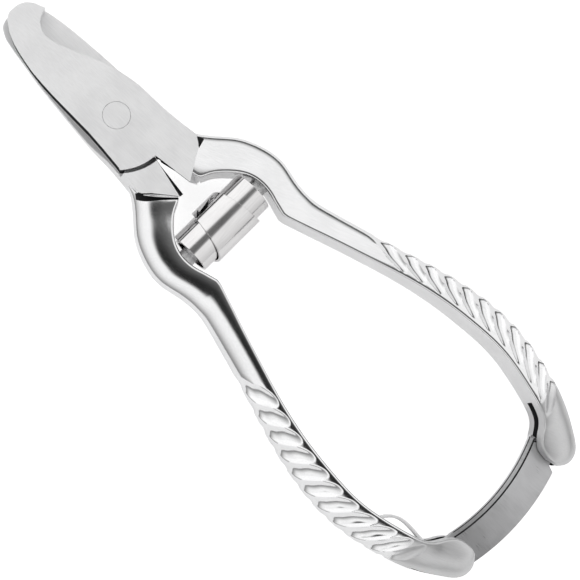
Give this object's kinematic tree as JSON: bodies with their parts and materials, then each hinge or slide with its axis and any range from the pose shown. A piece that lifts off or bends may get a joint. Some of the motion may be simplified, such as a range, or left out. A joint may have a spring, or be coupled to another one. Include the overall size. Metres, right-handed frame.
{
  "type": "nail clipper",
  "caption": "Heavy nail nipper: two steel levers in a lap joint, a hooked blade over a plain one, a barrel spring between ribbed handles, and a swinging catch strap.",
  "frame": {"origin": "the pivot axis, where it meets the flat back face of the joint", "axes": "+Y from the handles to the blades, +X towards the front lever's handle, +Z from the back face to the front face, along the pivot axis"},
  "size_m": [0.053, 0.1398, 0.0108],
  "materials": {
    "polished_steel": "mirror polished handles, fine satin flats on the blades",
    "satin_steel": "satin ground",
    "spring_steel": "bright rolled strip",
    "brushed_steel": "brushed across its length"
  },
  "bodies": {
    "back": {"back_lever": "polished_steel", "pivot_rivet": "satin_steel", "back_spring_stud": "satin_steel", "buffer_spring": "spring_steel", "strap_hinge_pin": "satin_steel", "catch_spring": "spring_steel"},
    "front": {"front_lever": "polished_steel", "front_spring_stud": "satin_steel", "catch_pin": "satin_steel"},
    "strap": {"catch_strap": "brushed_steel"}
  },
  "joints": [
    {"name": "handle_pivot", "type": "hinge", "parent": "back", "child": "front", "pos_m": [0, 0, 0.0034], "axis": [0, 0, 1], "range_deg": [0, 18], "deforming": ["buffer_spring"]},
    {"name": "strap_swing", "type": "hinge", "parent": "back", "child": "strap", "pos_m": [-0.0159, -0.1049, 0.0034], "axis": [0, 0, -1], "range_deg": [0, 108]}
  ],
  "couplings": [
    {"joint": "strap_swing", "follows": "handle_pivot", "ratio": 6}
  ]
}
